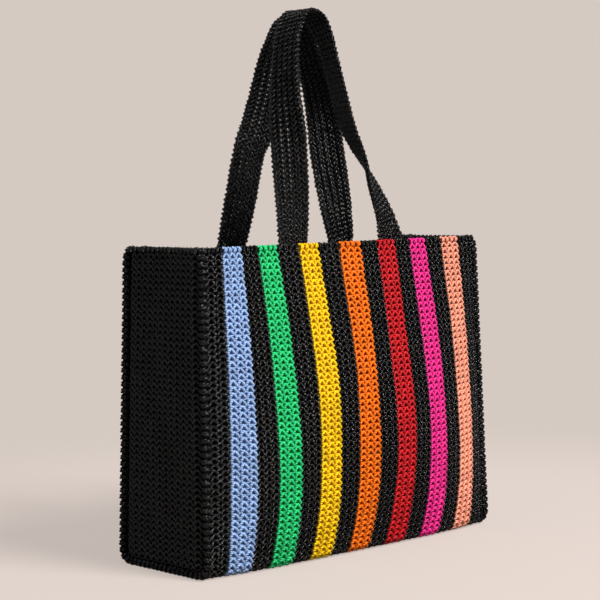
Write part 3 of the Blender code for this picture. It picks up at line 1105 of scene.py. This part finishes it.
def lay_ribbon(work, cloth, first, last, along):
    """A thin closed ribbon between two shares of the strap's width, given along its length."""
    edge = RIBBON_BEVEL * (last - first)
    across = np.stack((first, first + edge, last - edge, last, last - edge, first + edge), axis=1)
    height = np.array((0.0, 1.0, 1.0, 0.0, -1.0, -1.0)) * RIBBON_HALF
    steps, sides = len(along) - 1, len(height)
    a = across.ravel()
    b = np.repeat(along, sides)
    placed = cloth.place(a, b, np.tile(height, len(along)) * MILLIMETRE)
    faces = [(0, 1, 2, 3), (0, 3, 4, 5)]
    final = sides * steps
    faces += [(final + 3, final + 2, final + 1, final), (final + 5, final + 4, final + 3, final)]
    for ring in range(steps):
        for number in range(sides):
            near, beside = sides * ring + number, sides * ring + (number + 1) % sides
            faces.append((near, near + sides, beside + sides, beside))
    faces = np.array(faces)
    if not cloth.mirrored:
        faces = faces[:, ::-1]
    yarn = np.stack((a, b), axis=1)[faces]
    work.add(placed, faces, yarn, np.full(len(a), SHEET_TONE), BACK_SHADE_PAINT)


def lay_ribbons(work, cloth):
    cuts = (RIBBON_EDGE,) + SLITS + (STRAP_COLUMNS - RIBBON_EDGE,)
    along = np.linspace(*RIBBON_ENDS, STRAP_STITCHES + 1)
    slit = SLIT_HALF * np.interp(along, SLIT_PLACES, SLIT_SHARES)
    for number in range(len(cuts) - 1):
        first = cuts[number] + slit * (number > 0)
        last = cuts[number + 1] - slit * (number + 2 < len(cuts))
        lay_ribbon(work, cloth, first / STRAP_COLUMNS, last / STRAP_COLUMNS, along)


# %% [markdown]
# With the stitches and the ribbon at hand, both handles are laid in the same way.

# %% Handles
for name, cloth in (("front", front_strap), ("back", back_strap)):
    work = Work()
    along = (np.arange(STRAP_STITCHES) + 0.5) / STRAP_STITCHES
    column_share, pitch_share = 1.0 / STRAP_COLUMNS, 1.0 / STRAP_STITCHES
    for column in range(STRAP_COLUMNS):
        across = np.full(STRAP_STITCHES, column * column_share)
        lay(work, cloth, strap_stitch, across, along, column_share, pitch_share)
    for shape, edge in ((edge_stitch, 0.0), (far_edge_stitch, 1.0)):
        across = np.full(STRAP_STITCHES, edge)
        lay(work, cloth, shape, across, along, column_share, pitch_share)
    lay_ribbons(work, cloth)
    finish_piece(work, name + "_handle", "black")

# %% [markdown]
# ## The sewing
#
# The strap ends are sewn to the inside of the walls with the same black yarn. These rounded runs of
# yarn come straight from the CAD model and get the matt, twisted material of the backs, darkened as
# painted shade.

# %% Sewing yarn
for name in ("front_handle_left", "front_handle_right", "back_handle_left", "back_handle_right"):
    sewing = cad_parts[name + "_sewing"]
    sewing.data.materials.clear()
    # The back material is darkened as painted shade.
    sewing.data.materials.append(shaded_back_paints["black"])
    print(sewing.name, "is sewn in black")

# %% [markdown]
# ## The floor
#
# The bag stands on pale paper that runs on into an even backdrop with no edge. The floor is a
# wide disc that takes the soft shadow near the bag.

# %% Floor
FLOOR_RADIUS = 3.0
bpy.ops.object.select_all(action="DESELECT")
bpy.ops.mesh.primitive_circle_add(vertices=128, radius=FLOOR_RADIUS, fill_type="NGON")
floor = bpy.context.object
floor.name = "floor"
print("floor: %.0f m across" % (2.0 * FLOOR_RADIUS))

# %% [markdown]
# Seen directly, over half of the paper's tone is its own plain colour, which keeps the shadow
# light. It throws little light back up, so the undersides stay dark. Further out the disc fades
# away, and behind it stands the plain colour of the backdrop, so the bag can be looked at from
# any side.

# %% Paper
PAPER = (0.690, 0.607, 0.560)
PAPER_TONE = (0.718, 0.632, 0.584, 1.0)
OWN_TONE = 0.68
BOUNCE = 0.35
FADE_START, FADE_END = 0.40, 1.0

paper, nodes, links, sheet = start_paint("pale_paper", roughness=0.95, specular=0.1)
tone = nodes.new("ShaderNodeEmission")
tone.inputs["Color"].default_value = PAPER_TONE
camera_ray = nodes.new("ShaderNodeLightPath").outputs["Is Camera Ray"]
shade = nodes.new("ShaderNodeMix")
shade.data_type = "RGBA"
shade.inputs["A"].default_value = [BOUNCE * value for value in PAPER] + [1.0]
shade.inputs["B"].default_value = PAPER + (1.0,)
links.new(camera_ray, shade.inputs["Factor"])
links.new(shade.outputs["Result"], sheet.inputs["Base Color"])
lit = nodes.new("ShaderNodeMixShader")
links.new(maths(nodes, links, "MULTIPLY", camera_ray, OWN_TONE), lit.inputs["Fac"])
links.new(sheet.outputs["BSDF"], lit.inputs[1])
links.new(tone.outputs["Emission"], lit.inputs[2])
place = nodes.new("ShaderNodeTexCoord")
distance = nodes.new("ShaderNodeVectorMath")
distance.operation = "LENGTH"
links.new(place.outputs["Object"], distance.inputs[0])
fade = nodes.new("ShaderNodeMapRange")
fade.interpolation_type = "SMOOTHSTEP"
fade.inputs["From Min"].default_value = FADE_START
fade.inputs["From Max"].default_value = FADE_END
links.new(distance.outputs["Value"], fade.inputs["Value"])
gone = nodes.new("ShaderNodeBsdfTransparent")
whole = nodes.new("ShaderNodeMixShader")
links.new(fade.outputs["Result"], whole.inputs["Fac"])
links.new(lit.outputs["Shader"], whole.inputs[1])
links.new(gone.outputs["BSDF"], whole.inputs[2])
links.new(whole.outputs["Shader"], nodes["Material Output"].inputs["Surface"])
floor.data.materials.append(paper)
print("paper fades out from %.1f to %.1f m" % (FADE_START, FADE_END))

# %% [markdown]
# ## The backdrop
#
# Soft light comes from all round, as in a white tent. The camera sees the plain colour of the
# backdrop instead of the tent, so the backdrop adds no light to the bag.

# %% Tent and backdrop
TENT_COLOUR = (1.0, 0.98, 0.96, 1.0)
TENT_STRENGTH = 0.27
BACKDROP = (0.665, 0.590, 0.540, 1.0)

world = bpy.data.worlds.new("tent")
bpy.context.scene.world = world
world.use_nodes = True
nodes, links = world.node_tree.nodes, world.node_tree.links
tent = nodes["Background"]
tent.inputs["Color"].default_value = TENT_COLOUR
tent.inputs["Strength"].default_value = TENT_STRENGTH
backdrop = nodes.new("ShaderNodeBackground")
backdrop.inputs["Color"].default_value = BACKDROP
seen = nodes.new("ShaderNodeLightPath")
choice = nodes.new("ShaderNodeMixShader")
links.new(seen.outputs["Is Camera Ray"], choice.inputs["Fac"])
links.new(tent.outputs["Background"], choice.inputs[1])
links.new(backdrop.outputs["Background"], choice.inputs[2])
links.new(choice.outputs["Shader"], nodes["World Output"].inputs["Surface"])
print("tent strength", TENT_STRENGTH)

# %% [markdown]
# ## The lamps
#
# A large lamp on the right of the camera lights the striped front a little more than the side,
# and sends a soft shadow back and to the left. A weaker one on the left keeps the stitches of the
# gusset readable.

# %% Lamps
LAMP_COLOUR = (1.0, 0.98, 0.96)


def add_lamp(name, azimuth, elevation, distance, size, power):
    """A round lamp that looks at the bag, with its angles in degrees and its size in metres."""
    turn, lift = math.radians(azimuth), math.radians(elevation)
    direction = Vector((
        math.sin(turn) * math.cos(lift),
        -math.cos(turn) * math.cos(lift),
        math.sin(lift),
    ))
    bpy.ops.object.light_add(type="AREA", location=TARGET + direction * distance)
    lamp = bpy.context.object
    lamp.name = name
    lamp.data.shape = "DISK"
    lamp.data.size = size
    lamp.data.energy = power
    lamp.data.color = LAMP_COLOUR
    lamp.rotation_mode = "QUATERNION"
    lamp.rotation_quaternion = direction.to_track_quat("Z", "Y")
    print(name, "gives", power, "W")


add_lamp("key_lamp", azimuth=12.0, elevation=42.0, distance=4.0, size=1.7, power=250.0)
add_lamp("side_lamp", azimuth=-100.0, elevation=30.0, distance=3.4, size=1.5, power=9.0)

bpy.context.scene.view_settings.view_transform = "Standard"
